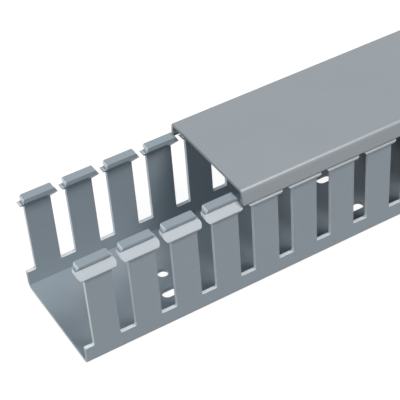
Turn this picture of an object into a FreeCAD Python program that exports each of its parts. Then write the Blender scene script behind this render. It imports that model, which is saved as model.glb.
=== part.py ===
"""Slotted wire duct with its cover, one cut length of wall duct for cables.

The base is one extruded channel whose two walls are punched into fingers with T-shaped
heads. The cover is a thin extruded lid whose skirts hook into the groove under the heads'
lips, so that it can be pressed on or slid along. Here it stands back from the front end
by a few fingers, with the same length out over the far end.

Frame: X along the duct, Y across it, Z up. The origin is the middle of the base's
underside. Millimetres.
"""

import FreeCAD, Part
import math
import os
import Sketcher

# Driving sizes, in millimetres.
SIZES = [
    ("duct_length", 1000.0, "cut length of the base, a whole number of pitches"),
    ("duct_width", 58.0, "across the outside of the two walls"),
    ("wall_thickness", 1.9, "fingers and the wall strip below them"),
    ("floor_thickness", 1.9, "bottom of the channel"),
    ("bottom_edge_radius", 2.0, "outer long edges at the bottom"),
    ("inner_edge_radius", 1.0, "inner long edges at the bottom"),
    ("slot_pitch", 20.0, "from one finger to the next"),
    ("slot_phase", 0.55, "middle of the first slot, cut in half by the saw, behind the front end"),
    ("slot_width", 7.6, "gap between two fingers"),
    ("slot_sill", 9.5, "height of the lower end of a slot"),
    ("bead_gap", 3.6, "gap between two heads, where a cable is pushed in"),
    ("lip_gap", 5.4, "gap between two lips"),
    ("finger_height", 53.1, "top of the lips"),
    ("lip_reach", 4.1, "lip beyond the wall's inner face"),
    ("lip_depth", 2.1, "inner face of the head"),
    ("head_taper", 4.9, "height of the slope under the head's inner face"),
    ("lip_setback", 1.6, "outer edge of the lip behind the wall's outer face"),
    ("lip_edge", 1.2, "outer edge of the lip"),
    ("groove_depth", 0.8, "groove below the lip, measured from the lip's edge"),
    ("groove_floor", 0.4, "flat at the root of the groove"),
    ("bead_reach", 0.9, "bead beyond the wall's outer face"),
    ("bead_slope", 3.0, "height of the bead's sloping face"),
    ("bead_edge", 0.6, "outer edge of the bead"),
    ("cover_length", 1000.0, "cut length of the cover"),
    ("cover_setback", 79.0, "cover behind the front end of the base"),
    ("cover_thickness", 1.6, "top plate of the cover"),
    ("cover_headroom", 2.3, "plate above the lips"),
    ("shoulder_inset", 0.1, "cover's top edges inside the line of the walls"),
    ("skirt_thickness", 1.5, "skirts of the cover"),
    ("skirt_drop", 7.5, "skirts, from the top of the cover"),
    ("skirt_flare", 1.2, "skirts lean outwards by this much over their drop"),
    ("cover_edge_radius", 2.0, "outer long edges of the cover"),
    ("hook_clearance", 0.4, "cover to heads, all round the groove"),
    ("hole_pitch", 100.0, "from one row of fixing holes to the next"),
    ("hole_offset", 50.0, "first row of fixing holes from the front end"),
    ("oblong_spacing", 25.0, "between the two oblong holes of a row"),
    ("oblong_length", 8.8, "oblong holes, along the duct"),
    ("oblong_width", 5.3, "oblong holes, across the duct"),
    ("round_diameter", 5.3, "round hole on the centre line"),
    ("round_shift", 3.0, "round hole behind the oblong pair"),
]

FRONT = "-sizes.duct_length / 2"
WALL_OUT = "sizes.duct_width / 2"
WALL_IN = f"({WALL_OUT} - sizes.wall_thickness)"
LIP_OUT = f"({WALL_OUT} - sizes.lip_setback)"
LIP_IN = f"({WALL_IN} - sizes.lip_reach)"
GROOVE_OUT = f"({LIP_OUT} - sizes.groove_depth)"
BEAD_OUT = f"({WALL_OUT} + sizes.bead_reach)"
LIP_LOW = "(sizes.finger_height - sizes.lip_edge)"
GROOVE_HIGH = f"({LIP_LOW} - sizes.groove_depth)"
GROOVE_LOW = f"({GROOVE_HIGH} - sizes.groove_floor)"
BEAD_HIGH = f"({GROOVE_LOW} - sizes.bead_slope)"
BEAD_LOW = f"({BEAD_HIGH} - sizes.bead_edge)"
HEAD_LOW = f"({BEAD_LOW} - sizes.bead_reach)"
PLATE_LOW = "(sizes.finger_height + sizes.cover_headroom)"
COVER_TOP = f"({PLATE_LOW} + sizes.cover_thickness)"
SKIRT_LOW = f"({COVER_TOP} - sizes.skirt_drop)"


def make_sheet(doc):
    sheet = doc.addObject("Spreadsheet::Sheet", "sizes")
    for row, (alias, value, meaning) in enumerate(SIZES, start=1):
        sheet.set(f"A{row}", alias)
        sheet.set(f"B{row}", str(value))
        sheet.setAlias(f"B{row}", alias)
        sheet.set(f"C{row}", meaning)
    doc.recompute()
    return sheet


def origin_plane(body, role):
    return next(plane for plane in body.Origin.OriginFeatures if plane.Role == role)


def new_sketch(body, name, role):
    sketch = body.newObject("Sketcher::SketchObject", name)
    sketch.AttachmentSupport = (origin_plane(body, role), "")
    sketch.MapMode = "FlatFace"
    body.Document.recompute()
    return sketch


def bind(sketch, kind, first, second, expression):
    """A horizontal or vertical dimension between two points, bound to the sizes."""
    value = float(sketch.evalExpression(expression))
    index = sketch.addConstraint(Sketcher.Constraint(kind, *first, *second, value))
    sketch.setExpression(f"Constraints[{index}]", expression)


def draw_outline(sketch, corners):
    """A closed outline of straight sides through corners given as (across, up)."""
    points = []
    for across, up in corners:
        x = float(sketch.evalExpression(across))
        y = float(sketch.evalExpression(up))
        points.append(FreeCAD.Vector(x, y, 0))
    first = sketch.GeometryCount
    for place, here in enumerate(points):
        there = points[(place + 1) % len(points)]
        sketch.addGeometry(Part.LineSegment(here, there), False)
    for place, (across, up) in enumerate(corners):
        after = first + (place + 1) % len(corners)
        sketch.addConstraint(Sketcher.Constraint("Coincident", first + place, 2, after, 1))
        bind(sketch, "DistanceX", (-1, 1), (first + place, 1), across)
        bind(sketch, "DistanceY", (-1, 1), (first + place, 1), up)


def mirrored_section(half):
    """A section that is symmetric about the middle plane, from its positive half."""
    other = [(f"-({across})", up) for across, up in reversed(half)]
    return half + other


def pad_section(body, name, half, length):
    sketch = new_sketch(body, f"{name}_section", "YZ_Plane")
    draw_outline(sketch, mirrored_section(half))
    pad = body.newObject("PartDesign::Pad", f"{name}_extrusion")
    pad.Profile = sketch
    pad.SideType = "Symmetric"
    pad.setExpression("Length", length)
    body.Document.recompute()
    return pad


def round_edges(body, base, name, radius, places):
    """Fillets the long edges that pass through the given places of the section."""
    picked = []
    for number, edge in enumerate(base.Shape.Edges, start=1):
        middle = edge.BoundBox.Center
        along = edge.BoundBox.XLength
        if along < base.Shape.BoundBox.XLength / 2:
            continue
        if any(abs(middle.y - y) < 0.01 and abs(middle.z - z) < 0.01 for y, z in places):
            picked.append(f"Edge{number}")
    if len(picked) != len(places):
        raise RuntimeError(f"{name}: found {len(picked)} edges of {len(places)}")
    fillet = body.newObject("PartDesign::Fillet", name)
    fillet.Base = (base, picked)
    fillet.setExpression("Radius", radius)
    body.Document.recompute()
    return fillet


def cut_through(body, name, sketch):
    """A pocket right through the piece, both ways from the sketch's plane."""
    before = body.Shape.Volume
    pocket = body.newObject("PartDesign::Pocket", name)
    pocket.Profile = sketch
    pocket.Type = "ThroughAll"
    pocket.SideType = "Symmetric"
    body.Document.recompute()
    if pocket.Shape.Volume >= before:
        raise RuntimeError(f"{name} cuts nothing")
    return pocket


def repeat_along(body, name, original, pitch, count):
    pattern = body.newObject("PartDesign::LinearPattern", name)
    pattern.Originals = [original]
    pattern.Direction = (next(a for a in body.Origin.OriginFeatures if a.Role == "X_Axis"), [""])
    pattern.Mode = "Spacing"
    pattern.setExpression("Offset", pitch)
    pattern.setExpression("Occurrences", count)
    body.Tip = pattern
    body.Document.recompute()
    return pattern


def number(sheet, expression):
    return float(sheet.evalExpression(expression))


def make_base(doc, sheet):
    """The channel: extruded, its long edges rounded, its walls and floor punched."""
    body = doc.addObject("PartDesign::Body", "duct_base")
    half = [
        (WALL_OUT, "0 mm"),
        (WALL_OUT, HEAD_LOW),
        (BEAD_OUT, BEAD_LOW),
        (BEAD_OUT, BEAD_HIGH),
        (GROOVE_OUT, GROOVE_LOW),
        (GROOVE_OUT, GROOVE_HIGH),
        (LIP_OUT, LIP_LOW),
        (LIP_OUT, "sizes.finger_height"),
        (LIP_IN, "sizes.finger_height"),
        (LIP_IN, "sizes.finger_height - sizes.lip_depth"),
        (WALL_IN, "sizes.finger_height - sizes.lip_depth - sizes.head_taper"),
        (WALL_IN, "sizes.floor_thickness"),
    ]
    pad = pad_section(body, "channel", half, "sizes.duct_length")

    wall_out = number(sheet, WALL_OUT)
    wall_in = number(sheet, WALL_IN)
    floor = number(sheet, "sizes.floor_thickness")
    outer = [(wall_out, 0.0), (-wall_out, 0.0)]
    inner = [(wall_in, floor), (-wall_in, floor)]
    rounded = round_edges(body, pad, "outer_edges", "sizes.bottom_edge_radius", outer)
    rounded = round_edges(body, rounded, "inner_edges", "sizes.inner_edge_radius", inner)

    slot = cut_through(body, "end_slot", slot_sketch(body))
    slots = "round(sizes.duct_length / sizes.slot_pitch) + 1"
    repeat_along(body, "slots", slot, "sizes.slot_pitch", slots)

    holes = cut_through(body, "first_holes", hole_sketch(body))
    rows = "floor((sizes.duct_length - 2 * sizes.hole_offset) / sizes.hole_pitch) + 1"
    repeat_along(body, "hole_rows", holes, "sizes.hole_pitch", rows)
    return body


def slot_sketch(body):
    """The punched outline between two fingers: sill, stem, shoulders, bead gap, lip gap.

    The rounded corners of a head, at its lower end and below the lip, are one flat each.
    """
    sketch = new_sketch(body, "slot_outline", "XZ_Plane")
    stem = "sizes.slot_width / 2"
    shoulder = "(sizes.slot_width - sizes.bead_gap) / 2"
    corner = "(sizes.lip_gap - sizes.bead_gap) / 2"
    right = [
        (stem, "sizes.slot_sill"),
        (stem, HEAD_LOW),
        (f"{stem} - 0.3 * {shoulder}", HEAD_LOW),
        ("sizes.bead_gap / 2", f"{HEAD_LOW} + 0.65 * {shoulder}"),
        ("sizes.bead_gap / 2", f"{GROOVE_LOW} - 1.2 * {corner}"),
        ("sizes.lip_gap / 2", GROOVE_LOW),
        ("sizes.lip_gap / 2", "sizes.finger_height + sizes.cover_headroom"),
    ]
    middle = f"{FRONT} + sizes.slot_phase"
    outline = [(f"{middle} + ({across})", up) for across, up in right]
    outline += [(f"{middle} - ({across})", up) for across, up in reversed(right)]
    draw_outline(sketch, outline)
    return sketch


def hole_sketch(body):
    """One row of fixing holes: an oblong hole each side and a round one between them."""
    sketch = new_sketch(body, "fixing_holes", "XY_Plane")
    row = f"{FRONT} + sizes.hole_offset"
    draw_oblong(sketch, row, "sizes.oblong_spacing / 2")
    draw_oblong(sketch, row, "-sizes.oblong_spacing / 2")

    middle = float(sketch.evalExpression(f"{row} + sizes.round_shift"))
    radius = float(sketch.evalExpression("sizes.round_diameter / 2"))
    up = FreeCAD.Vector(0, 0, 1)
    round_hole = sketch.addGeometry(Part.Circle(FreeCAD.Vector(middle, 0, 0), up, radius), False)
    bind(sketch, "DistanceX", (-1, 1), (round_hole, 3), f"{row} + sizes.round_shift")
    sketch.addConstraint(Sketcher.Constraint("PointOnObject", round_hole, 3, -1))
    index = sketch.addConstraint(Sketcher.Constraint("Diameter", round_hole, 2 * radius))
    sketch.setExpression(f"Constraints[{index}]", "sizes.round_diameter")
    return sketch


def draw_oblong(sketch, middle, side):
    """An oblong hole along the duct, its ends full half circles."""
    reach = "(sizes.oblong_length - sizes.oblong_width) / 2"
    radius = float(sketch.evalExpression("sizes.oblong_width / 2"))
    low = float(sketch.evalExpression(f"{middle} - {reach}"))
    high = float(sketch.evalExpression(f"{middle} + {reach}"))
    y = float(sketch.evalExpression(side))
    up = FreeCAD.Vector(0, 0, 1)
    quarter = math.pi / 2
    far_circle = Part.Circle(FreeCAD.Vector(high, y, 0), up, radius)
    near_circle = Part.Circle(FreeCAD.Vector(low, y, 0), up, radius)
    far = sketch.addGeometry(Part.ArcOfCircle(far_circle, -quarter, quarter), False)
    near = sketch.addGeometry(Part.ArcOfCircle(near_circle, quarter, 3 * quarter), False)
    upper_ends = [FreeCAD.Vector(high, y + radius, 0), FreeCAD.Vector(low, y + radius, 0)]
    lower_ends = [FreeCAD.Vector(low, y - radius, 0), FreeCAD.Vector(high, y - radius, 0)]
    upper = sketch.addGeometry(Part.LineSegment(*upper_ends), False)
    lower = sketch.addGeometry(Part.LineSegment(*lower_ends), False)
    for first, second in (((far, 2), (upper, 1)), ((upper, 2), (near, 1)),
                          ((near, 2), (lower, 1)), ((lower, 2), (far, 1))):
        sketch.addConstraint(Sketcher.Constraint("Tangent", *first, *second))
    sketch.addConstraint(Sketcher.Constraint("Equal", far, near))
    index = sketch.addConstraint(Sketcher.Constraint("Radius", far, radius))
    sketch.setExpression(f"Constraints[{index}]", "sizes.oblong_width / 2")
    bind(sketch, "DistanceX", (-1, 1), (far, 3), f"{middle} + {reach}")
    bind(sketch, "DistanceY", (-1, 1), (far, 3), side)
    bind(sketch, "DistanceX", (-1, 1), (near, 3), f"{middle} - {reach}")
    bind(sketch, "DistanceY", (-1, 1), (near, 3), side)


def make_cover(doc, sheet):
    """The lid: one extruded section whose skirts hook in under the lips of the heads."""
    body = doc.addObject("PartDesign::Body", "duct_cover")
    shoulder = f"({WALL_OUT} - sizes.shoulder_inset)"
    lean = "sizes.skirt_flare / sizes.skirt_drop"
    skirt_in = f"({shoulder} - sizes.skirt_thickness)"
    tip = f"({GROOVE_OUT} + sizes.hook_clearance)"
    bead_rise = f"sizes.bead_slope / ({BEAD_OUT} - {GROOVE_OUT})"
    hook_foot = (f"(({skirt_in} + {COVER_TOP} * {lean} - {GROOVE_OUT} + {GROOVE_HIGH}"
                 f" - sizes.hook_clearance) / (1 + {lean}))")
    tip_low = f"({GROOVE_LOW} + sizes.hook_clearance * (1 - {bead_rise}))"
    half = [
        (shoulder, COVER_TOP),
        (f"{skirt_in} + sizes.cover_thickness * {lean}", PLATE_LOW),
        (f"{GROOVE_OUT} + {hook_foot} - {GROOVE_HIGH} + sizes.hook_clearance", hook_foot),
        (tip, GROOVE_HIGH),
        (tip, tip_low),
        (f"{tip} + ({tip_low} - {SKIRT_LOW}) / ({bead_rise})", SKIRT_LOW),
        (f"{shoulder} + sizes.skirt_flare", SKIRT_LOW),
    ]
    outer_first = [half[-1]] + [half[0]]
    inside = half[1:-1]
    section = inside + outer_first
    pad = pad_section(body, "lid", section, "sizes.cover_length")
    edge = number(sheet, shoulder)
    top = number(sheet, COVER_TOP)
    round_edges(body, pad, "cover_edges", "sizes.cover_edge_radius", [(edge, top), (-edge, top)])
    front = f"{FRONT} + sizes.cover_setback"
    body.setExpression("Placement.Base.x", f"{front} + sizes.cover_length / 2")
    doc.recompute()
    return body


def check_and_export(doc, bodies):
    """Writes each piece as a STEP file, after every feature and shape has been checked."""
    doc.recompute()
    for item in doc.Objects:
        if "Invalid" in item.State or "Error" in item.State:
            raise RuntimeError(f"{item.Name} failed: {item.State}")
    for body in bodies:
        shape = body.Shape
        if shape.isNull() or not shape.isValid() or len(shape.Solids) != 1:
            raise RuntimeError(f"{body.Label} is not one valid solid")
    os.makedirs("parts", exist_ok=True)
    for body in bodies:
        body.Shape.exportStep(f"parts/{body.Label}.step")
        box = body.Shape.BoundBox
        print(f"{body.Label}: {body.Shape.Volume / 1000:.2f} cm3, {len(body.Shape.Faces)} faces,"
              f" X {box.XMin:.2f} to {box.XMax:.2f}, Y {box.YMin:.2f} to {box.YMax:.2f},"
              f" Z {box.ZMin:.2f} to {box.ZMax:.2f}")


def main():
    doc = FreeCAD.newDocument("slotted_wire_duct")
    sheet = make_sheet(doc)
    base = make_base(doc, sheet)
    cover = make_cover(doc, sheet)
    check_and_export(doc, [base, cover])


main()
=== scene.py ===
"""Looks of the slotted wire duct and its cover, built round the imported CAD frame.

X runs along the duct, Y across it and Z up, in metres, with the origin at the middle of
the base's underside. Both pieces are one grey hard plastic, extruded, punched and sawn.
"""

import math

import bpy
from mathutils import Matrix, Vector


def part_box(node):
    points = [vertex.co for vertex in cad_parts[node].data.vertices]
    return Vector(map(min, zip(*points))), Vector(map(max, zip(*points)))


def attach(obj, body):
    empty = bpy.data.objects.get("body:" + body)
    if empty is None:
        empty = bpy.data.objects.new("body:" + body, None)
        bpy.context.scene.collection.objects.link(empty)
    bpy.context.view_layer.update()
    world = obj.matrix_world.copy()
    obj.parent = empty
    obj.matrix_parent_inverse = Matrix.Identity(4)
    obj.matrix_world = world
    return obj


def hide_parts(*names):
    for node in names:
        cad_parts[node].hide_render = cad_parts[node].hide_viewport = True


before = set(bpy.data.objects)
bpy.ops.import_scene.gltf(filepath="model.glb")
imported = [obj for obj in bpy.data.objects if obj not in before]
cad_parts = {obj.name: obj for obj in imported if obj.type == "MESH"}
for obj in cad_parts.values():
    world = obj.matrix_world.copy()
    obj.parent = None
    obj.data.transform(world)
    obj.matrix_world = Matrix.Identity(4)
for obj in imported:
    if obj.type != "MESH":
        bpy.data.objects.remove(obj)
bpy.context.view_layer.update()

# Base of the duct.
# One extruded channel of hard grey plastic. Its two walls are punched into fingers with
# T-shaped heads, its floor is punched with screw holes, and its ends are sawn square.

MM = 0.001
SAME_PLACE = 0.001 * MM
base_low, base_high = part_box("duct_base")
front_end = base_low.x
back_end = base_high.x
lip_top = base_high.z
wall_out = 29.0 * MM
wall_in = 27.1 * MM
floor_top = 1.9 * MM
bottom_radius = 3.0 * MM

slot_pitch = 20.0 * MM
slot_phase = 0.55 * MM
slot_half = 3.8 * MM
slot_sill = 9.5 * MM
slot_corner = 0.6 * MM
bead_gap_half = 1.0 * MM
lip_gap_half = 2.5 * MM
lip_corner = 1.0 * MM

# Levels of a head above the wall, as (height, inner face, outer face).
bead_out = wall_out + 0.9 * MM
groove_out = wall_out - 2.4 * MM
lip_out = wall_out - 1.6 * MM
lip_in = wall_in - 4.1 * MM
head_low = lip_top - 6.9 * MM
bead_low = lip_top - 6.0 * MM
bead_high = lip_top - 5.4 * MM
groove_low = lip_top - 2.4 * MM
taper_high = lip_top - 2.1 * MM
groove_high = lip_top - 2.0 * MM
lip_low = lip_top - 1.2 * MM


def taper_at(height):
    """Inner face of the head where it slopes in from the wall."""
    return wall_in + (lip_in - wall_in) * (height - head_low) / (taper_high - head_low)


head_levels = [
    (head_low, wall_in, wall_out),
    (bead_low, taper_at(bead_low), bead_out),
    (bead_high, taper_at(bead_high), bead_out),
    (groove_low, taper_at(groove_low), groove_out),
    (taper_high, lip_in, groove_out),
    (groove_high, lip_in, groove_out),
    (lip_low, lip_in, lip_out),
    (lip_top, lip_in, lip_out),
]


def box_piece(name, low, high):
    """A new box between two corners, its place in its mesh, left in edit mode."""
    bpy.ops.object.select_all(action="DESELECT")
    bpy.ops.mesh.primitive_cube_add(size=1.0)
    piece = bpy.context.object
    piece.name = name
    low, high = Vector(low), Vector(high)
    piece.scale = high - low
    piece.location = (low + high) / 2
    bpy.ops.object.transform_apply(location=True, rotation=True, scale=True)
    bpy.ops.object.mode_set(mode="EDIT")
    return piece


def pick(kind, test):
    """Selects, in edit mode, only the edges or the faces whose corners pass the test."""
    bpy.ops.mesh.select_mode(type=kind)
    bpy.ops.mesh.select_all(action="DESELECT")
    bpy.ops.object.mode_set(mode="OBJECT")
    mesh = bpy.context.object.data
    points = [vertex.co for vertex in mesh.vertices]
    items = mesh.edges if kind == "EDGE" else mesh.polygons
    for item in items:
        item.select = test([points[number] for number in item.vertices])
    bpy.ops.object.mode_set(mode="EDIT")


def all_at(axis, value):
    """A test for things that lie wholly at one place along an axis."""
    return lambda places: all(abs(place[axis] - value) < SAME_PLACE for place in places)


def raise_strip(height, side, inner, outer):
    """Extrudes the selected strip of a wall to a height and sets its two edges."""
    bpy.ops.mesh.extrude_region_move()
    mesh = bpy.context.object.data
    bpy.ops.object.mode_set(mode="OBJECT")
    raised = [vertex for vertex in mesh.vertices if vertex.select]
    middle = sum(abs(vertex.co.y) for vertex in raised) / len(raised)
    for vertex in raised:
        across = outer if abs(vertex.co.y) > middle else inner
        vertex.co = (vertex.co.x, side * across, height)
    bpy.ops.object.mode_set(mode="EDIT")


def cut_at(axis, value):
    """Cuts the whole piece with a plane across an axis, and keeps both parts."""
    bpy.ops.mesh.select_all(action="SELECT")
    normal = [0, 0, 0]
    normal[axis] = 1
    place = [0, 0, 0]
    place[axis] = value
    bpy.ops.mesh.bisect(plane_co=place, plane_no=normal)


def carve(piece, cutter):
    """Takes the cutter out of the piece and removes the cutter."""
    bpy.ops.object.mode_set(mode="OBJECT")
    bpy.ops.object.select_all(action="DESELECT")
    piece.select_set(True)
    bpy.context.view_layer.objects.active = piece
    cut = piece.modifiers.new("cut", "BOOLEAN")
    cut.operation = "DIFFERENCE"
    cut.solver = "EXACT"
    cut.object = cutter
    bpy.ops.object.modifier_apply(modifier=cut.name)
    bpy.data.objects.remove(cutter)


def join_flats():
    """Joins, in edit mode, faces that lie in one plane."""
    bpy.ops.mesh.select_all(action="SELECT")
    bpy.ops.mesh.dissolve_limited(angle_limit=math.radians(0.5))


def repeat(piece, count, pitch):
    """Copies the piece along the duct and joins each copy to the one before."""
    row = piece.modifiers.new("row", "ARRAY")
    row.count = count
    row.use_relative_offset = False
    row.use_constant_offset = True
    row.constant_offset_displace = (pitch, 0, 0)
    row.use_merge_vertices = True
    row.merge_threshold = 10 * SAME_PLACE
    bpy.ops.object.modifier_apply(modifier=row.name)


# One pitch of the channel, a slot in its middle, raised from a flat bar.
first_slot = front_end + slot_phase
module_low = first_slot - slot_pitch / 2
module_high = first_slot + slot_pitch / 2
base = box_piece("base_channel", (module_low, -wall_out, 0), (module_high, wall_out, floor_top))
cut_at(1, wall_in)
cut_at(1, -wall_in)
for side in (-1, 1):
    pick("FACE", lambda places: all(side * place.y > wall_in - SAME_PLACE
                                    and place.z > floor_top - SAME_PLACE for place in places))
    for height, inner, outer in head_levels:
        raise_strip(height, side, inner, outer)


def long_edge(across, height):
    """A test for the edges along the duct at a distance from its middle and a height."""
    return lambda places: (abs(places[0].y - places[1].y) < SAME_PLACE
                           and abs(abs(places[0].y) - across) < SAME_PLACE
                           and all_at(2, height)(places))


# The die rounds the channel's long edges at the bottom.
join_flats()
pick("EDGE", long_edge(wall_out, 0))
bpy.ops.mesh.bevel(offset=bottom_radius, segments=5, profile=0.5)
bpy.ops.object.mode_set(mode="OBJECT")

# Punch for one slot: square below, then a narrow gap between the heads, with the round
# corners of the heads' lower ends, of the beads below the lips and of the lips' tops.
punch_clearance = 2 * MM
punch_reach = bead_out + punch_clearance
punch = box_piece("slot_punch", (first_slot - slot_half, -punch_reach, slot_sill),
                  (first_slot + slot_half, punch_reach, head_low))
bead_corner = slot_half - bead_gap_half
bead_corner_rise = 2.9 * MM
bead_corner_bow = 1.5
groove_corner = lip_gap_half - bead_gap_half
groove_corner_rise = 1.5 * MM
corner_shares = [0.2, 0.4, 0.6, 0.8, 1.0]
quarter = [math.pi / 2 * share for share in corner_shares]
punch_levels = [(head_low + bead_corner_rise * share,
                 bead_gap_half + bead_corner * (1 - share) ** bead_corner_bow)
                for share in corner_shares]
punch_levels.append((groove_low - groove_corner_rise, bead_gap_half))
punch_levels += [(groove_low - groove_corner_rise * (1 - math.sin(turn)),
                  lip_gap_half - groove_corner * math.cos(turn)) for turn in quarter]
punch_levels.append((lip_top - lip_corner, lip_gap_half))
punch_levels += [(lip_top - lip_corner * (1 - math.sin(turn)),
                  lip_gap_half + lip_corner * (1 - math.cos(turn))) for turn in quarter]
punch_levels.append((lip_top + punch_clearance, lip_gap_half + lip_corner))
pick("FACE", all_at(2, head_low))
for height, half in punch_levels:
    bpy.ops.mesh.extrude_region_move()
    bpy.ops.object.mode_set(mode="OBJECT")
    for vertex in punch.data.vertices:
        if vertex.select:
            vertex.co.x = first_slot + math.copysign(half, vertex.co.x - first_slot)
            vertex.co.z = height
    bpy.ops.object.mode_set(mode="EDIT")
pick("EDGE", lambda places: all_at(2, slot_sill)(places)
     and abs(places[0].x - places[1].x) < SAME_PLACE)
bpy.ops.mesh.bevel(offset=slot_corner, segments=3, profile=0.5)
carve(base, punch)

# Seams in flat faces go, so that the edges can be softened evenly. The module's two end
# faces go too, so that its copies join into one wall.
bpy.ops.object.mode_set(mode="EDIT")
join_flats()
pick("FACE", lambda places: all_at(0, module_low)(places) or all_at(0, module_high)(places))
bpy.ops.mesh.delete(type="FACE")
bpy.ops.object.mode_set(mode="OBJECT")
pitches_per_unit = 5
repeat(base, pitches_per_unit, slot_pitch)

# One row of screw holes for each five pitches: two oblong and, just behind, a round one.
hole_row = front_end + 50.0 * MM
hole_half = 2.65 * MM
oblong_half = 4.4 * MM
oblong_side = 12.5 * MM
round_shift = 3.0 * MM


def hole_punch(name, x, y, half):
    """A round punch through the floor, or an oblong one where its half is longer.

    Its rounds stop just short of the middle of its ends, so that they don't meet in a point.
    """
    punch = box_piece(name, (x - half, y - hole_half, -punch_clearance),
                      (x + half, y + hole_half, floor_top + punch_clearance))
    pick("EDGE", lambda places: abs(places[0].z - places[1].z) > floor_top)
    bpy.ops.mesh.bevel(offset=0.998 * hole_half, segments=7, profile=0.5)
    return punch


carve(base, hole_punch("near_punch", hole_row, -oblong_side, oblong_half))
carve(base, hole_punch("far_punch", hole_row, oblong_side, oblong_half))
carve(base, hole_punch("middle_punch", hole_row + round_shift, 0, hole_half))

# Every edge of the real extrusion is a little soft, and the saw leaves the ends square.
edge_softness = 0.2 * MM
sharp_angle = math.radians(32)


def soften(piece):
    """Rounds the sharp edges of the piece a little."""
    edges = piece.modifiers.new("soft_edges", "BEVEL")
    edges.width = edge_softness
    edges.segments = 2
    edges.limit_method = "ANGLE"
    edges.angle_limit = sharp_angle
    bpy.ops.object.modifier_apply(modifier=edges.name)


def shade_evenly(piece):
    """Smooth rounds and flat faces, with no shade running from one into the other."""
    bpy.ops.object.shade_smooth_by_angle(angle=sharp_angle)
    even = piece.modifiers.new("even_shading", "WEIGHTED_NORMAL")
    even.keep_sharp = True
    bpy.ops.object.modifier_apply(modifier=even.name)


def saw_off(piece, place, facing):
    """Saws the piece square at a place along the duct and closes the cut."""
    bpy.ops.object.mode_set(mode="EDIT")
    bpy.ops.mesh.select_all(action="SELECT")
    bpy.ops.mesh.bisect(plane_co=(place, 0, 0), plane_no=(facing, 0, 0),
                        use_fill=True, clear_outer=True)
    bpy.ops.object.mode_set(mode="OBJECT")


soften(base)
unit_length = pitches_per_unit * slot_pitch
repeat(base, math.ceil((back_end - module_low) / unit_length), unit_length)
saw_off(base, front_end, -1)
saw_off(base, back_end, 1)
shade_evenly(base)


def plastic(name, colour):
    """Grey extruded hard plastic: die lines along the duct, fine mottle, satin gloss."""
    material = bpy.data.materials.new(name)
    material.use_nodes = True
    nodes = material.node_tree.nodes
    links = material.node_tree.links
    shader = nodes["Principled BSDF"]
    shader.inputs["IOR"].default_value = 1.54

    place = nodes.new("ShaderNodeTexCoord")
    along = nodes.new("ShaderNodeMapping")
    along.inputs["Scale"].default_value = (3, 900, 900)
    die_lines = nodes.new("ShaderNodeTexNoise")
    die_lines.inputs["Scale"].default_value = 1
    die_lines.inputs["Detail"].default_value = 3
    cloud = nodes.new("ShaderNodeTexNoise")
    cloud.inputs["Scale"].default_value = 35
    cloud.inputs["Detail"].default_value = 4
    grain = nodes.new("ShaderNodeTexNoise")
    grain.inputs["Scale"].default_value = 2600
    grain.inputs["Detail"].default_value = 2
    links.new(place.outputs["Object"], along.inputs["Vector"])
    links.new(along.outputs["Vector"], die_lines.inputs["Vector"])
    links.new(place.outputs["Object"], cloud.inputs["Vector"])
    links.new(place.outputs["Object"], grain.inputs["Vector"])

    tint = nodes.new("ShaderNodeValToRGB")
    tint.color_ramp.elements[0].position = 0.3
    tint.color_ramp.elements[0].color = [0.97 * part for part in colour] + [1]
    tint.color_ramp.elements[1].position = 0.7
    tint.color_ramp.elements[1].color = [1.03 * part for part in colour] + [1]
    both = nodes.new("ShaderNodeMix")
    both.inputs["Factor"].default_value = 0.5
    links.new(die_lines.outputs["Fac"], both.inputs["A"])
    links.new(cloud.outputs["Fac"], both.inputs["B"])
    links.new(both.outputs["Result"], tint.inputs["Fac"])
    links.new(tint.outputs["Color"], shader.inputs["Base Color"])

    gloss = nodes.new("ShaderNodeMapRange")
    gloss.inputs["From Min"].default_value = 0.3
    gloss.inputs["From Max"].default_value = 0.7
    gloss.inputs["To Min"].default_value = 0.32
    gloss.inputs["To Max"].default_value = 0.40
    links.new(both.outputs["Result"], gloss.inputs["Value"])
    links.new(gloss.outputs["Result"], shader.inputs["Roughness"])

    relief = nodes.new("ShaderNodeMath")
    relief.operation = "MULTIPLY_ADD"
    relief.inputs[1].default_value = 0.5
    links.new(grain.outputs["Fac"], relief.inputs[0])
    links.new(die_lines.outputs["Fac"], relief.inputs[2])
    bump = nodes.new("ShaderNodeBump")
    bump.inputs["Strength"].default_value = 0.07
    bump.inputs["Distance"].default_value = 0.05 * MM
    links.new(relief.outputs["Value"], bump.inputs["Height"])
    links.new(bump.outputs["Normal"], shader.inputs["Normal"])
    return material


def finish_piece(piece, material, body, node):
    """Gives a finished piece its material and its place in the frame."""
    piece.data.materials.clear()
    piece.data.materials.append(material)
    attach(piece, body)
    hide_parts(node)


base_grey = (0.245, 0.295, 0.34)
# Paler grey of the punched faces: their own paler colour with painted highlight mixed in.
punched_and_lit_grey = (0.60, 0.66, 0.71)
finish_piece(base, plastic("base_plastic", base_grey), "base", "duct_base")

# Where the punch went through, the faces are paler: partly the punched plastic's own paler
# colour, partly painted highlight standing in for the light that catches the slots' sides and
# sills. The sawn ends keep its colour.
base.data.materials.append(plastic("punched_and_lit_plastic", punched_and_lit_grey))
for face in base.data.polygons:
    sill_face = face.normal.z > 0.9 and abs(face.center.z - slot_sill) < 1 * MM
    side_face = abs(face.normal.x) > 0.5 and face.center.z > slot_sill
    from_saw = min(abs(face.center.x - front_end), abs(face.center.x - back_end))
    sawn_face = from_saw < 10 * SAME_PLACE
    if (side_face or sill_face) and not sawn_face:
        face.material_index = 1

# Cover.
# One thin extruded lid of the same plastic, its long edges rounded. Its skirts lean out a
# little and end in hooks that catch in the grooves below the lips of the heads.

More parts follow.
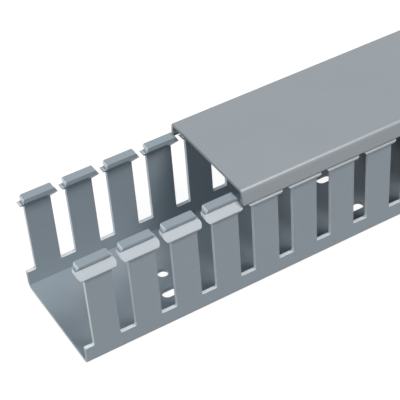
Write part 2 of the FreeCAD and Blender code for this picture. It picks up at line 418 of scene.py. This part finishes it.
cover_low, cover_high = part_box("duct_cover")
cover_front = cover_low.x
cover_back = cover_high.x
cover_top = cover_high.z
skirt_low = cover_low.z
plate_low = cover_top - 1.6 * MM
skirt_out_low = cover_high.y
shoulder_out = wall_out - 0.1 * MM
skirt_thickness = 1.5 * MM
cover_radius = 2.0 * MM
hook_clearance = 0.4 * MM

lean = (skirt_out_low - shoulder_out) / (cover_top - skirt_low)
bead_rise = (groove_low - bead_high) / (bead_out - groove_out)
hook_tip = groove_out + hook_clearance
tip_low = groove_low + hook_clearance * (1 - bead_rise)


def skirt_out(height):
    """Outer face of the leaning skirt at a height."""
    return shoulder_out + (cover_top - height) * lean


# The hook's upper face runs at 45 degrees from the skirt's inner face down to the tip.
hook_foot = ((skirt_out(0) - skirt_thickness - groove_out + groove_high - hook_clearance)
             / (1 + lean))
skirt_levels = [
    (hook_foot, skirt_out(hook_foot) - skirt_thickness),
    (groove_high, hook_tip),
    (tip_low, hook_tip),
    (skirt_low, hook_tip + (tip_low - skirt_low) / bead_rise),
]

cover = box_piece("cover_lid", (cover_front, -shoulder_out, plate_low),
                  (cover_back, shoulder_out, cover_top))
bpy.ops.object.mode_set(mode="OBJECT")
for vertex in cover.data.vertices:
    if vertex.co.z < cover_top - SAME_PLACE:
        vertex.co.y = math.copysign(skirt_out(plate_low), vertex.co.y)
bpy.ops.object.mode_set(mode="EDIT")
strip_in = skirt_out(plate_low) - skirt_thickness
cut_at(1, strip_in)
cut_at(1, -strip_in)
for side in (-1, 1):
    pick("FACE", lambda places: all(side * place.y > strip_in - SAME_PLACE
                                    and place.z < plate_low + SAME_PLACE for place in places))
    for height, inner in skirt_levels:
        raise_strip(height, side, inner, skirt_out(height))
join_flats()
pick("EDGE", long_edge(shoulder_out, cover_top))

# The skirts lean, so the corner is wider than square and its round starts closer to it.
edge_angle = math.pi / 2 + math.atan(lean)
bpy.ops.mesh.bevel(offset=cover_radius / math.tan(edge_angle / 2), segments=6, profile=0.5)
bpy.ops.object.mode_set(mode="OBJECT")
soften(cover)
shade_evenly(cover)

cover_grey = (0.26, 0.29, 0.32)
finish_piece(cover, plastic("cover_plastic", cover_grey), "cover", "duct_cover")

# Studio: a pale floor, a white surround and soft lamps.
# The floor and the surround are white to the camera and in reflections, and the floor keeps
# the duct's soft shadow.


def seen_rays(tree):
    """One for rays from the camera and for those that gloss or glass sends on, else zero."""
    rays = tree.nodes.new("ShaderNodeLightPath")
    total = rays.outputs["Is Camera Ray"]
    for name in ("Is Glossy Ray", "Is Transmission Ray"):
        both = tree.nodes.new("ShaderNodeMath")
        both.operation = "ADD"
        both.use_clamp = True
        tree.links.new(total, both.inputs[0])
        tree.links.new(rays.outputs[name], both.inputs[1])
        total = both.outputs["Value"]
    return total


floor_size = 12
floor_gap = 0.2 * MM
floor_white = 0.90
bpy.ops.object.select_all(action="DESELECT")
bpy.ops.mesh.primitive_plane_add(size=floor_size, location=(0, 0, -floor_gap))
floor = bpy.context.object
floor.name = "studio_floor"
paper = bpy.data.materials.new("white_paper")
paper.use_nodes = True
paper_nodes = paper.node_tree.nodes
paper_links = paper.node_tree.links
paper_shader = paper_nodes["Principled BSDF"]
paper_shader.inputs["Base Color"].default_value = (0.18, 0.18, 0.18, 1)
paper_shader.inputs["Roughness"].default_value = 0.9
paper_shader.inputs["Emission Color"].default_value = (1, 1, 1, 1)
paper_seen = paper_nodes.new("ShaderNodeMath")
paper_seen.operation = "MULTIPLY"
paper_seen.inputs[1].default_value = floor_white
paper_links.new(seen_rays(paper.node_tree), paper_seen.inputs[0])
paper_links.new(paper_seen.outputs["Value"], paper_shader.inputs["Emission Strength"])
floor.data.materials.append(paper)

world = bpy.data.worlds.new("white_surround")
bpy.context.scene.world = world
world.use_nodes = True
world_nodes = world.node_tree.nodes
world_links = world.node_tree.links
world_nodes.clear()
world_out = world_nodes.new("ShaderNodeOutputWorld")
fill_light = world_nodes.new("ShaderNodeBackground")
fill_light.inputs["Color"].default_value = (0.80, 0.93, 1.0, 1)
fill_light.inputs["Strength"].default_value = 0.28
seen_white = world_nodes.new("ShaderNodeBackground")
seen_white.inputs["Strength"].default_value = 1.0
seen_white.inputs["Color"].default_value = (1, 1, 1, 1)
world_mix = world_nodes.new("ShaderNodeMixShader")
world_links.new(seen_rays(world.node_tree), world_mix.inputs["Fac"])
world_links.new(fill_light.outputs["Background"], world_mix.inputs[1])
world_links.new(seen_white.outputs["Background"], world_mix.inputs[2])
world_links.new(world_mix.outputs["Shader"], world_out.inputs["Surface"])


def lamp(name, place, aim, size, power, colour):
    """A square soft lamp that faces a point."""
    data = bpy.data.lights.new(name, "AREA")
    data.size = size
    data.energy = power
    data.color = colour
    light = bpy.data.objects.new(name, data)
    bpy.context.collection.objects.link(light)
    light.location = place
    light.rotation_mode = "QUATERNION"
    light.rotation_quaternion = (Vector(aim) - Vector(place)).to_track_quat("-Z", "Y")


lamp_aim = (front_end, 0, 0)
lamp("key_lamp", (front_end + 0.75, -1.1, 1.9), lamp_aim, 0.9, 41, (1.0, 0.95, 0.90))
lamp("side_lamp", (front_end - 0.8, -0.25, 0.6), lamp_aim, 0.6, 5.5, (1.0, 0.98, 0.96))

# Camera at the photograph's place: above the open end, looking along the duct.
camera_data = bpy.data.cameras.new("camera")
camera_data.sensor_width = 36
camera_data.lens = 119.0
camera_data.clip_start = 0.05
camera_data.clip_end = 50
camera_data.shift_x = -0.027
camera_data.shift_y = 0.002
camera = bpy.data.objects.new("camera", camera_data)
bpy.context.collection.objects.link(camera)
camera_place = (-0.6333, -0.3896, 0.4091)
camera_azimuth = math.radians(28.72)
camera_elevation = math.radians(40.41)
camera_roll = math.radians(4.22)
heading = Matrix.Rotation(-camera_azimuth, 4, "Z")
tilt = Matrix.Rotation(math.pi / 2 - camera_elevation, 4, "X")
roll = Matrix.Rotation(-camera_roll, 4, "Z")
camera.matrix_world = Matrix.Translation(camera_place) @ heading @ tilt @ roll
bpy.context.scene.camera = camera

bpy.context.scene.view_settings.view_transform = "Standard"
